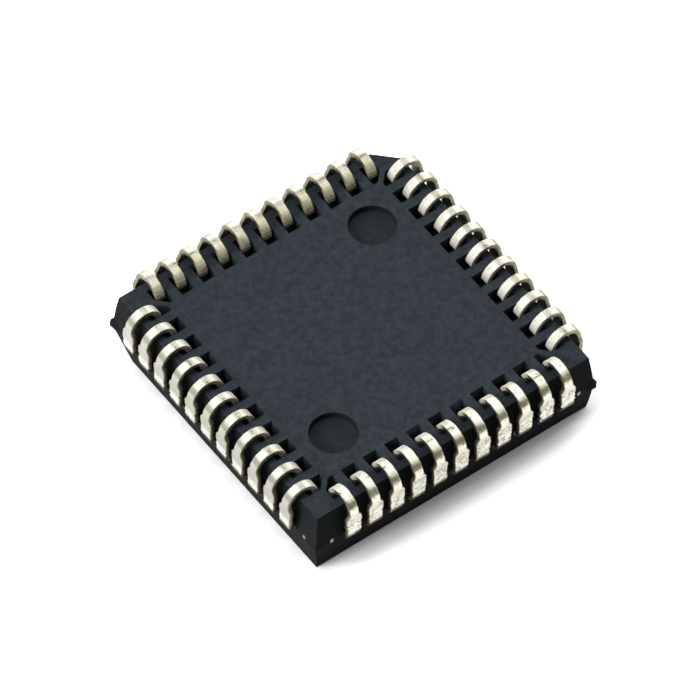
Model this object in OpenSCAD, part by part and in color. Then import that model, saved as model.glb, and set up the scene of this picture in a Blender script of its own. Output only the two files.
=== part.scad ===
// Square plastic chip carrier with J-shaped leads on all four sides.
// It lies on its top face, with the belly and the leads up, as it is laid out for inspection.
// The origin is the centre of the top face, +Z points out of the belly,
// and the side that carries lead 1 in its middle faces +Y.

/* [Body] */
// Thickness of the body, from the top face to the belly
body_h = 3.886; // [3.6:0.001:4.1]
// Distance from the last lead of a side to the wall round the corner, at the parting line
corner_room = 1.945; // [1.7:0.005:2.2]
// Draft of the moulded side walls, in degrees
draft = 7.5; // [5:0.5:9]
// Leg of the chamfer on the three plain corners, at the parting line
corner_cut = 0.08; // [0.04:0.02:0.3]
// Leg of the index chamfer, at the parting line
index_cut = 1.25; // [1:0.05:1.4]
// How far the bevel of the lead 1 side runs in over the top face
bevel_run = 1.345; // [1:0.005:1.6]
// Strip of side wall that the bevel leaves below the lead frame
bevel_strip = 0.12; // [0.05:0.01:0.4]

/* [Leads] */
// Number of leads on each side, an odd number
side_leads = 11; // [7:2:11]
// Spacing of the leads
pitch = 1.27; // [1.2:0.01:1.3]
// How far the outer faces of the leads stand out from the wall
lead_stand = 0.44; // [0.43:0.01:0.6]
// How far the curls stand above the belly
belly_stand = 0.594; // [0.5:0.001:0.65]
// Thickness of the lead frame sheet
lead_t = 0.25; // [0.2:0.01:0.28]
// Height of the lead frame above the top face
frame_z = 1.72; // [1.6:0.01:1.9]
// Outer radius of the bend where a lead turns up beside the wall
bend_r = 0.43; // [0.36:0.01:0.43]
// Outer radius of the curl under the belly
curl_r = 0.92; // [0.8:0.01:1]
// Straight stretch at the tip, past the half turn of the curl
tip_run = 0.06; // [0.02:0.01:0.2]
// Width of a lead at its shoulder
shoulder_w = 0.78; // [0.7:0.01:0.85]
// How far the stub of the cut dam bar stands out on each edge of a shoulder
stub_out = 0.03; // [0.01:0.01:0.06]
// Height of that stub
stub_h = 0.4; // [0.2:0.05:0.6]
// How far the corner cut off at the foot of a shoulder goes in, on one edge of the lead
foot_cut = 0.1; // [0:0.01:0.15]
// Height of that cut above the bottom of the lead
foot_cut_h = 0.45; // [0.3:0.01:0.5]
// Width of a lead in its curl
curl_w = 0.5; // [0.4:0.01:0.55]
// How far above the curl's centre the lead reaches its narrow width
neck_rise = 0.04; // [0:0.01:0.2]
// Height of the taper from the shoulder to the narrow width
neck_h = 0.25; // [0.1:0.01:0.4]
// Bevel on the outer edge of a lead's tip
tip_bevel = 0.1; // [0.05:0.01:0.15]

/* [Slots in the belly] */
// Clearance beside a lead in its slot
slot_gap = 0.14; // [0.05:0.01:0.2]
// Clearance between the curl and the inner end of its slot
slot_end = 0.495; // [0.3:0.005:0.6]
// Clearance between the tip and the outer end of its slot
slot_behind = 0.445; // [0.3:0.005:0.5]
// Depth of a slot below the belly
slot_depth = 1; // [0.6:0.05:1.2]
// Thickness of the rib between the two slots that meet at a corner
corner_rib = 0.25; // [0.15:0.01:0.4]

/* [Mould marks] */
// Diameter of the two ejector recesses in the belly
recess_d = 2.38; // [2:0.01:2.6]
// Depth of an ejector recess
recess_depth = 0.38; // [0.1:0.01:0.5]
// Distance of an ejector recess from each centre line
recess_at = 4.45; // [4:0.05:4.8]
// Diameter of the lead 1 dimple in the top face
dimple_d = 1.6; // [1:0.1:2]
// Depth of the lead 1 dimple
dimple_depth = 0.12; // [0.05:0.01:0.2]
// Land between the lead 1 dimple and the bevel
dimple_land = 0.5; // [0.3:0.05:1]
// How far a mould nub stands out of its corner
nub_out = 0.15; // [0.1:0.01:0.3]
// Width of a mould nub
nub_w = 0.4; // [0.3:0.05:0.6]

/* [Lead frame inside] */
// Width of the square die paddle
paddle_w = 8.2; // [7.6:0.1:8.6]
// How far the paddle is set down from the leads, towards the belly
paddle_drop = 0.3; // [0.2:0.01:0.4]
// Gap between the paddle and the finger tips
finger_gap = 0.5; // [0.3:0.05:0.7]
// Spacing of the finger tips
tip_pitch = 0.72; // [0.66:0.01:0.76]
// Width of a finger tip
tip_w = 0.36; // [0.3:0.01:0.42]
// Straight stretch of a finger inside the wall
straight_run = 0.9; // [0.6:0.05:1.2]
// Width of the bars that tie the paddle to the corners
tie_w = 0.4; // [0.3:0.05:0.5]
// Width of the two prongs at the end of a tie bar
prong_w = 0.18; // [0.12:0.01:0.35]
// Distance from the last lead of a side to the prong beside it
prong_step = 1; // [0.9:0.05:1.05]
// Flat stretch of a tie bar between the paddle and its ramp
ramp_land = 0.3; // [0.2:0.05:0.5]
// Length of the ramp up to the paddle
ramp_run = 0.5; // [0.4:0.05:0.8]

/* [Die and wires] */
// Width of the square silicon die
die_w = 5; // [4:0.1:6]
// Thickness of the die
die_t = 0.38; // [0.28:0.01:0.4]
// Thickness of the die attach
attach_t = 0.03; // [0.02:0.01:0.05]
// How far the die attach shows round the die
attach_rim = 0.1; // [0.05:0.01:0.2]
// Spacing of the bond pads along an edge of the die
pad_pitch = 0.42; // [0.3:0.01:0.45]
// Distance of the bond pads from the edge of the die
pad_inset = 0.12; // [0.08:0.01:0.2]
// Thickness of a bond wire
wire_t = 0.033; // [0.025:0.001:0.05]
// Height of the wire loop over the die
loop_h = 0.3; // [0.15:0.01:0.4]
// Share of a wire's span that runs level
loop_level = 0.4; // [0.2:0.05:0.6]
// Diameter of the ball bond on the die
ball_d = 0.09; // [0.07:0.01:0.12]
// Height of the ball bond
ball_h = 0.025; // [0.015:0.005:0.04]
// Length of the stitch bond on a finger
stitch = 0.1; // [0.06:0.01:0.15]
// Distance of the stitch bond from the finger tip
stitch_in = 0.25; // [0.15:0.01:0.4]

/* [Hidden] */
$fn = 64;
lead_count = 4 * side_leads;
last_step = (side_leads - 1) / 2;
last_lead = last_step * pitch;
wall = last_lead + corner_room;
plain_corner = wall * sqrt(2) - corner_cut / sqrt(2);
index_corner = wall * sqrt(2) - index_cut / sqrt(2);
lead_face = wall + lead_stand;
seat_h = body_h + belly_stand;
frame_top = frame_z + lead_t;
top_draft = frame_z * tan(draft);
belly_draft = (body_h - frame_top) * tan(draft);
bevel_top = frame_z - bevel_strip;
bend_at = lead_face - bend_r;
curl_at = lead_face - curl_r;
curl_z = seat_h - curl_r;
slot_inner = lead_face - 2 * curl_r - slot_end;
slot_outer = lead_face - 2 * curl_r + lead_t + slot_behind;
slot_w = curl_w + 2 * slot_gap;
slot_floor = body_h - slot_depth;
finger_tip = paddle_w / 2 + finger_gap;
paddle_z = frame_z + paddle_drop;
die_z = paddle_z - attach_t - die_t;
function lead_name(number) = str("lead_", number < 10 ? "0" : "", number);

// A profile drawn as seen from -Y, run through the whole body along Y
module through_y() {
    rotate([90, 0, 0]) linear_extrude(4 * wall, center = true) children();
}

// A profile drawn with its first axis along Y, run along X over a width
module across_x(width) {
    rotate([90, 0, 90]) linear_extrude(width, center = true) children();
}

// Section of the body between two walls that lean in from the parting line
module drafted_section(left, right) {
    polygon([
        [top_draft - left, 0],
        [right - top_draft, 0],
        [right, frame_z],
        [right, frame_top],
        [right - belly_draft, body_h],
        [belly_draft - left, body_h],
        [-left, frame_top],
        [-left, frame_z]
    ]);
}

// What the bevel takes off the lead 1 side of that section
module bevel_cut() {
    bevel_wall = wall - bevel_strip * tan(draft);
    slope = bevel_run / bevel_top;
    polygon([
        [wall - bevel_run - slope * lead_t, -lead_t],
        [wall + bevel_run, -lead_t],
        [wall + bevel_run, bevel_top],
        [bevel_wall, bevel_top]
    ]);
}

// The moulded block: four drafted walls, the bevel and the four corner chamfers
module body_block() {
    intersection() {
        through_y() drafted_section(wall, wall);
        across_x(4 * wall) difference() {
            drafted_section(wall, wall);
            bevel_cut();
        }
        rotate([0, 0, 45]) through_y() drafted_section(plain_corner, index_corner);
        rotate([0, 0, -45]) through_y() drafted_section(plain_corner, plain_corner);
    }
}

// Nubs that the mould leaves at the parting line of the two corners beside the index
module mould_nubs() {
    for (turn = [-45, 135]) rotate([0, 0, turn]) translate([0, 0, frame_z])
        linear_extrude(lead_t) polygon([
            [plain_corner - nub_w, -nub_w],
            [plain_corner - nub_out, -nub_w / 2 - nub_out],
            [plain_corner + nub_out, -nub_w / 4],
            [plain_corner + nub_out, nub_w / 4],
            [plain_corner - nub_out, nub_w / 2 + nub_out],
            [plain_corner - nub_w, nub_w]
        ]);
}

// Slots in the belly that the curled leads dip into, closed by a rim along the walls,
// with a rib left between the two that meet at each corner
module slots() {
    difference() {
        for (side = [0 : 3]) rotate([0, 0, 90 * side])
            for (step = [-last_step : last_step])
                translate([step * pitch - slot_w / 2, slot_inner, slot_floor])
                    cube([slot_w, slot_outer - slot_inner, 2 * slot_depth]);
        for (turn = [45, 135]) rotate([0, 0, turn])
            translate([-2 * wall, -corner_rib / 2, slot_floor - slot_depth])
                cube([4 * wall, corner_rib, 4 * slot_depth]);
    }
}

// Round recesses: two in the belly and the lead 1 dimple in the top face
module round_marks() {
    for (at = [-recess_at, recess_at]) translate([at, at, body_h - recess_depth])
        cylinder(d = recess_d, h = 2 * recess_depth);
    translate([0, wall - bevel_run - dimple_land - dimple_d / 2, -dimple_depth])
        cylinder(d = dimple_d, h = 2 * dimple_depth);
}

// Epoxy moulded round the lead frame, the die and its wires
module package_body() {
    color("#3b3e44") difference() {
        union() {
            body_block();
            mould_nubs();
        }
        slots();
        round_marks();
        for (number = [1 : lead_count]) lead(number);
        die_paddle();
        die_attach();
        silicon_die();
        bond_wires();
    }
}

// Band of the lead sheet bent to a circle, full turn
module bent_sheet(radius) {
    difference() {
        circle(radius);
        circle(radius - lead_t);
    }
}

// Side view of the formed lead: bend, upright and curl, with its first axis pointing outwards
module formed_section() {
    bend_z = frame_z + bend_r;
    intersection() {
        translate([bend_at, bend_z]) bent_sheet(bend_r);
        translate([bend_at, frame_z]) square(bend_r);
    }
    translate([lead_face - lead_t, bend_z]) square([lead_t, curl_z - bend_z]);
    difference() {
        union() {
            intersection() {
                translate([curl_at, curl_z]) bent_sheet(curl_r);
                translate([curl_at - curl_r, curl_z]) square([2 * curl_r, curl_r]);
            }
            translate([curl_at - curl_r, curl_z - tip_run]) square([lead_t, tip_run]);
        }
        translate([curl_at - curl_r, curl_z - tip_run]) rotate(45)
            square(tip_bevel * sqrt(2), center = true);
    }
}

// Front view of the lead's blank: the shoulder with its cut foot, the taper and the narrow curl
module blank_outline() {
    neck_z = curl_z + neck_rise;
    stub_z = neck_z - neck_h;
    shoulder = shoulder_w / 2;
    stub = shoulder + stub_out;
    curl = curl_w / 2;
    edge = [
        [shoulder, 0],
        [shoulder, stub_z - stub_h - stub_out],
        [stub, stub_z - stub_h],
        [stub, stub_z],
        [curl, neck_z],
        [curl, seat_h + lead_t]
    ];
    mirrored = [for (i = [len(edge) - 1 : -1 : 1]) [-edge[i][0], edge[i][1]]];
    foot = [
        [-shoulder, frame_z + foot_cut_h],
        [foot_cut - shoulder, frame_z],
        [foot_cut - shoulder, 0]
    ];
    polygon(concat(edge, mirrored, foot));
}

// Part of a lead outside the body, in the middle of the +Y side
module formed_lead() {
    intersection() {
        across_x(shoulder_w + 2 * stub_out) formed_section();
        union() {
            translate([0, curl_at + bend_r + curl_r, 0])
                rotate([90, 0, 0]) linear_extrude(bend_r + curl_r) blank_outline();
            translate([-curl_w / 2, curl_at - curl_r - lead_t, 0])
                cube([curl_w, curl_r + lead_t, seat_h + lead_t]);
        }
    }
}

// Part of a lead inside the body: straight behind the wall, then fanned towards the die
module finger(step) {
    fan_at = wall - straight_run;
    tip_shift = step * (tip_pitch - pitch);
    translate([0, 0, frame_z]) linear_extrude(lead_t) polygon([
        [foot_cut - shoulder_w / 2, bend_at],
        [foot_cut - shoulder_w / 2, fan_at],
        [tip_shift - tip_w / 2, finger_tip],
        [tip_shift + tip_w / 2, finger_tip],
        [shoulder_w / 2, fan_at],
        [shoulder_w / 2, bend_at]
    ]);
}

// One lead, counted clockwise as seen from the belly, with lead 1 in the middle of the +Y side
module lead(number) {
    place = (number - 1 + last_step) % lead_count;
    side = floor(place / side_leads);
    step = place % side_leads - last_step;
    color("#cfcdc2") rotate([0, 0, -90 * side]) translate([step * pitch, 0, 0]) {
        formed_lead();
        finger(step);
    }
}

// Bar from a corner of the paddle to the frame level, with its ramp, along +X
module tie_bar(length) {
    corner = paddle_w / sqrt(2);
    ramp_from = corner + ramp_land;
    ramp_to = ramp_from + ramp_run;
    rotate([90, 0, 0]) linear_extrude(tie_w, center = true) polygon([
        [corner - tie_w, paddle_z],
        [ramp_from, paddle_z],
        [ramp_to, frame_z],
        [length, frame_z],
        [length, frame_top],
        [ramp_to, frame_top],
        [ramp_from, paddle_z + lead_t],
        [corner - tie_w, paddle_z + lead_t]
    ]);
}

// Prong from the fork of a tie bar out through the +X wall, for the corner at +X +Y
module prong(fork_at) {
    translate([fork_at - prong_w / 2, fork_at - prong_w / 2, frame_z])
        cube([lead_face - fork_at, prong_w, lead_t]);
}

// Paddle that carries the die, tied to the four corners and cut flush with the walls
module die_paddle() {
    fork_at = last_lead + prong_step;
    color("#c08a58") intersection() {
        union() {
            translate([-paddle_w / 2, -paddle_w / 2, paddle_z]) cube([paddle_w, paddle_w, lead_t]);
            rotate([0, 0, 45]) tie_bar(2 * wall);
            for (turn = [90, 180, 270]) rotate([0, 0, turn]) {
                rotate([0, 0, 45]) tie_bar(fork_at * sqrt(2) - prong_w / 2);
                prong(fork_at);
                mirror([1, -1, 0]) prong(fork_at);
            }
        }
        body_block();
    }
}

// Film that holds the die on the paddle
module die_attach() {
    width = die_w + 2 * attach_rim;
    color("#9aa0a4") translate([-width / 2, -width / 2, paddle_z - attach_t])
        cube([width, width, attach_t]);
}

// Silicon die, on the side of the paddle that faces the top
module silicon_die() {
    color("#5c6470") translate([-die_w / 2, -die_w / 2, die_z]) cube([die_w, die_w, die_t]);
}

// Gold wire from a bond pad to the finger at the same step, on the +Y side
module bond_wire(step) {
    from = [step * pad_pitch, die_w / 2 - pad_inset];
    to = [step * tip_pitch, finger_tip + stitch_in];
    span = norm(to - from);
    loop_z = die_z - loop_h;
    translate(from) {
        translate([0, 0, die_z - ball_h]) cylinder(d = ball_d, h = ball_h);
        rotate([0, 0, atan2(to[1] - from[1], to[0] - from[0])])
            rotate([90, 0, 0]) linear_extrude(wire_t, center = true) polygon([
                [-wire_t / 2, die_z],
                [-wire_t / 2, loop_z],
                [loop_level * span, loop_z],
                [span + stitch / 2, frame_z],
                [span - stitch / 2, frame_z],
                [loop_level * span, loop_z + wire_t],
                [wire_t / 2, loop_z + wire_t],
                [wire_t / 2, die_z]
            ]);
    }
}

// All the bond wires
module bond_wires() {
    color("#e0b040") for (side = [0 : 3]) rotate([0, 0, 90 * side])
        for (step = [-last_step : last_step]) bond_wire(step);
}

package_body();
for (number = [1 : lead_count])
    lead(number);
die_paddle();
die_attach();
silicon_die();
bond_wires();
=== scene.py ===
"""Looks of a square plastic chip carrier with J-shaped leads, lying on its top face.

The moulded body and the forty-four formed leads are modelled here round the CAD frame. The paddle,
the die attach, the die and the bond wires stay as CAD nodes with finishes of their own. Lengths in
the classes are millimetres, and every mesh is brought to metres as the last step of its making.
"""

import logging
import math
from dataclasses import dataclass
from enum import Enum
from functools import partial, reduce

import bmesh
import bpy
from mathutils import Matrix, Vector, noise


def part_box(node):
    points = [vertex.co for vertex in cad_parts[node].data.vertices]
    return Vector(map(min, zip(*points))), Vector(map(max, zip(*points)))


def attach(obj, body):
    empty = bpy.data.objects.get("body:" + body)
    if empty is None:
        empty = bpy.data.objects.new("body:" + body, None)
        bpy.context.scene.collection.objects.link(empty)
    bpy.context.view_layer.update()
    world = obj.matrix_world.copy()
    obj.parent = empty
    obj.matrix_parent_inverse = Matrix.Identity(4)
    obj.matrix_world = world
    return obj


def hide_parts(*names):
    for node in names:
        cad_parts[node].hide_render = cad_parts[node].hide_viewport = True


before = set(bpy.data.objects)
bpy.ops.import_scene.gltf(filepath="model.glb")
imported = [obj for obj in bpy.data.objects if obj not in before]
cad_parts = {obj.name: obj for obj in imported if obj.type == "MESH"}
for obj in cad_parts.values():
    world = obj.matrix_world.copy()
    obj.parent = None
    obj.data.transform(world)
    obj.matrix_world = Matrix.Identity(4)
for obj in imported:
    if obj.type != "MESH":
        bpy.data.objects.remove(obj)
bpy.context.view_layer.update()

log = logging.getLogger("chip_carrier")

MM = 0.001
ROOT = "root"
SIDE_COUNT = 4

Socket = bpy.types.NodeSocket
Outputs = bpy.types.bpy_prop_collection
Tree = bpy.types.NodeTree
Material = bpy.types.Material
Object = bpy.types.Object
Solid = bmesh.types.BMesh
Outline = list[tuple[float, float]]
Colour = tuple[float, float, float, float]
Point = tuple[float, float, float]
Input = Socket | float | Colour | Point
Band = tuple[float, float, float]


class Cut(Enum):
    """Boolean operations used on solids."""

    JOIN = "UNION"
    REMOVE = "DIFFERENCE"


class Part(Enum):
    """Faces of the lead sheet, by the value that its mesh stores on them."""

    FLAT = 0.0
    SHEARED = 1.0


def grey(level: float) -> Colour:
    """Returns an opaque grey of one level."""
    return (level, level, level, 1.0)


# Shader graphs


class Graph:
    """A shader node tree that is filled by short calls."""

    def __init__(self, tree: Tree) -> None:
        """Keeps the material's, the world's or the group's node tree that the calls add to."""
        self.tree = tree

    def feed(self, socket: Socket, value: Input) -> None:
        """Links a socket to another one, or sets it to a plain value.

        Args:
            socket: The socket that takes the value.
            value: Another socket, or a plain value.
        """
        if isinstance(value, Socket):
            self.tree.links.new(value, socket)
        else:
            socket.default_value = value

    def node(
        self, kind: str, inputs: dict[str | int, Input] | None = None, **settings: object
    ) -> bpy.types.Node:
        """Adds a node.

        Args:
            kind: The node's type name.
            inputs: Values or sockets for the node's inputs, by name or by place.
            settings: Properties of the node itself.

        Returns:
            The new node.
        """
        node = self.tree.nodes.new(kind)
        for name, value in settings.items():
            setattr(node, name, value)
        for key, value in (inputs or {}).items():
            self.feed(node.inputs[key], value)
        return node

    def math(self, operation: str, first: Input, second: Input = 0.0, third: Input = 0.0) -> Socket:
        """Returns the result of one arithmetic operation."""
        inputs = {0: first, 1: second, 2: third}
        return self.node("ShaderNodeMath", inputs, operation=operation).outputs[0]

    def both(self, operation: str, first: Input, second: Input) -> Socket:
        """Returns two masks joined by an arithmetic operation, clamped to 0 to 1."""
        node = self.node("ShaderNodeMath", {0: first, 1: second}, operation=operation, use_clamp=True)
        return node.outputs[0]

    def product(self, *masks: Input) -> Socket:
        """Returns the product of masks and shares, clamped to 0 to 1."""
        return reduce(lambda first, second: self.both("MULTIPLY", first, second), masks)

    def parts(self, vector: Socket) -> Outputs:
        """Returns the X, Y and Z of a vector."""
        return self.node("ShaderNodeSeparateXYZ", {"Vector": vector}).outputs

    def scaled(self, vector: Socket, scale: float) -> Socket:
        """Returns a vector or a colour times a number."""
        inputs = {0: vector, "Scale": scale}
        return self.node("ShaderNodeVectorMath", inputs, operation="SCALE").outputs["Vector"]

    def span(self, value: Input, low: float, high: float, start: Input = 0.0, end: Input = 1.0) -> Socket:
        """Maps the range from low to high smoothly to the range from start to end.

        Args:
            value: The socket to map.
            low: Value that gives start.
            high: Value that gives end.
            start: Result at low.
            end: Result at high.

        Returns:
            The mapped value.
        """
        inputs = {"Value": value, "From Min": low, "From Max": high, "To Min": start, "To Max": end}
        node = self.node("ShaderNodeMapRange", inputs, interpolation_type="SMOOTHSTEP")
        return node.outputs["Result"]

    def mix(self, share: Input, first: Input, second: Input) -> Socket:
        """Returns a colour between two, by the share of the second."""
        inputs = {"Fac": share, "Color1": first, "Color2": second}
        return self.node("ShaderNodeMixRGB", inputs).outputs["Color"]

    def layered(self, base: Input, layers: list[tuple[Input, float, Colour]]) -> Socket:
        """Lays colours over another one in order.

        Args:
            base: The lowest colour.
            layers: Mask, share and colour of each layer.

        Returns:
            The colour that shows.
        """
        for mask, share, colour in layers:
            base = self.mix(self.product(mask, share), base, colour)
        return base

    def noise(self, place: Socket, scale: Input, detail: float = 2.0, rough: float = 0.5) -> Outputs:
        """Adds a cloud noise from 0 to 1 and returns its value, then its colour."""
        inputs = {"Vector": place, "Scale": scale, "Detail": detail, "Roughness": rough}
        return self.node("ShaderNodeTexNoise", inputs).outputs

    def bump(self, height: Socket, strength: float, depth: float, normal: Socket | None = None) -> Socket:
        """Returns the surface's normal, tilted by a height.

        Args:
            height: Height from 0 to 1.
            strength: Share of the tilt that shows.
            depth: Depth in millimetres of a height of 1.
            normal: A normal that is tilted already.

        Returns:
            The normal.
        """
        inputs = {"Strength": strength, "Distance": depth * MM, "Height": height}
        if normal is not None:
            inputs["Normal"] = normal
        return self.node("ShaderNodeBump", inputs).outputs["Normal"]

    def place_in_mm(self) -> Socket:
        """Returns the object's own coordinates in millimetres."""
        return self.scaled(self.node("ShaderNodeTexCoord").outputs["Object"], 1 / MM)

    def effect(self, tree: Tree, place: Socket, **values: float) -> Outputs:
        """Places a shared effect with its own values and returns its outputs."""
        return self.node("ShaderNodeGroup", {"Place": place, **values}, node_tree=tree).outputs


class EffectGraph(Graph):
    """The node group of a shared effect, which reads a position and named values."""

    def __init__(self, name: str, outputs: list[str], **values: float) -> None:
        """Starts the group.

        Args:
            name: The group's name.
            outputs: The names of the values that it puts out.
            values: Its inputs after the position, with their usual values.
        """
        super().__init__(bpy.data.node_groups.new(name, "ShaderNodeTree"))
        interface = self.tree.interface
        interface.new_socket(name="Place", in_out="INPUT", socket_type="NodeSocketVector")
        for label, value in values.items():
            socket = interface.new_socket(name=label, in_out="INPUT", socket_type="NodeSocketFloat")
            socket.default_value = value
        for label in outputs:
            interface.new_socket(name=label, in_out="OUTPUT", socket_type="NodeSocketFloat")
        self.given = self.node("NodeGroupInput").outputs
        self.result = self.node("NodeGroupOutput").inputs
        self.place = self.given["Place"]


def grain_effect() -> Tree:
    """Builds the fine grain of a moulded or rolled surface: height and a tone that follows it.

    Returns:
        The effect's node group.
    """
    graph = EffectGraph("Fine grain", ["Height", "Tone"], Scale=10.0)
    fine = graph.noise(graph.place, graph.given["Scale"], detail=4.0, rough=0.62)[0]
    coarse_scale = graph.math("MULTIPLY", graph.given["Scale"], 0.23)
    coarse = graph.noise(graph.place, coarse_scale, detail=3.0, rough=0.55)[0]
    height = graph.math("MULTIPLY", graph.math("ADD", fine, coarse), 0.5)
    graph.feed(graph.result["Height"], height)
    graph.feed(graph.result["Tone"], graph.span(height, 0.34, 0.66))
    return graph.tree


def blotch_effect() -> Tree:
    """Builds soft-edged irregular patches, more of them as the cover rises from 0 to 1.

    Returns:
        The effect's node group.
    """
    graph = EffectGraph("Blotches", ["Mask"], Scale=3.0, Cover=0.5)
    clouds = graph.noise(graph.place, graph.given["Scale"], detail=5.0, rough=0.6)[0]
    edge = graph.math("MULTIPLY_ADD", graph.given["Cover"], -0.44, 0.72)
    graph.feed(graph.result["Mask"], graph.span(graph.math("SUBTRACT", clouds, edge), -0.03, 0.07))
    return graph.tree


def streak_effect() -> Tree:
    """Builds drawn lines that run along the second axis of the position.

    Returns:
        The effect's node group.
    """
    graph = EffectGraph("Drawn streaks", ["Height"], Lines=30.0, Stretch=0.04)
    parts = graph.parts(graph.place)
    along = graph.math("MULTIPLY", parts["Y"], graph.given["Stretch"])
    squeezed = graph.node("ShaderNodeCombineXYZ", {"X": parts["X"], "Y": along, "Z": parts["Z"]}).outputs[0]
    graph.feed(graph.result["Height"], graph.noise(squeezed, graph.given["Lines"], detail=3.0, rough=0.6)[0])
    return graph.tree


def crazing_effect() -> Tree:
    """Builds a wandering net of fine cracks, broken here and there.

    Returns:
        The effect's node group.
    """
    graph = EffectGraph("Crazing", ["Mask"], Scale=4.0, Width=0.06, Cover=0.5)
    wander = graph.scaled(graph.noise(graph.place, 3.5, detail=5.0)["Color"], 0.7)
    moved = graph.node("ShaderNodeVectorMath", {0: graph.place, 1: wander}, operation="ADD").outputs[0]
    inputs = {"Vector": moved, "Scale": graph.given["Scale"]}
    cells = graph.node("ShaderNodeTexVoronoi", inputs, feature="DISTANCE_TO_EDGE").outputs["Distance"]
    line = graph.span(graph.math("SUBTRACT", graph.given["Width"], cells), -0.03, 0.05)
    level = graph.math("SUBTRACT", 0.8, graph.given["Cover"])
    above = graph.math("SUBTRACT", graph.noise(graph.place, 3.0, detail=3.0)[0], level)
    graph.feed(graph.result["Mask"], graph.product(line, graph.span(above, -0.08, 0.10)))
    return graph.tree


def speck_effect() -> Tree:
    """Builds sparse small specks, round and each of its own size.

    Returns:
        The effect's node group.
    """
    graph = EffectGraph("Specks", ["Mask"], Density=1.0, Radius=0.04, Share=0.2)
    inputs = {"Vector": graph.place, "Scale": graph.given["Density"]}
    cells = graph.node("ShaderNodeTexVoronoi", inputs).outputs
    picked = graph.node("ShaderNodeSeparateColor", {"Color": cells["Color"]}).outputs["Red"]
    kept = graph.math("LESS_THAN", picked, graph.given["Share"])
    dot = graph.span(graph.math("SUBTRACT", graph.given["Radius"], cells["Distance"]), -0.015, 0.02)
    graph.feed(graph.result["Mask"], graph.product(dot, kept))
    return graph.tree


@dataclass(frozen=True)
class Effects:
    """The shared effects, built once."""

    grain: Tree
    blotches: Tree
    streaks: Tree
    crazing: Tree
    specks: Tree

    @classmethod
    def build(cls) -> "Effects":
        """Returns the set of shared effects."""
        return cls(grain_effect(), blotch_effect(), streak_effect(), crazing_effect(), speck_effect())


def new_material(name: str) -> tuple[Material, Graph, bpy.types.NodeInputs]:
    """Starts a material.

    Args:
        name: The material's name.

    Returns:
        The material, its graph, and the inputs of its Principled shader.
    """
    material = bpy.data.materials.new(name)
    material.use_nodes = True
    shader = material.node_tree.nodes["Principled BSDF"]
    return material, Graph(material.node_tree), shader.inputs


# Finishes


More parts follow.
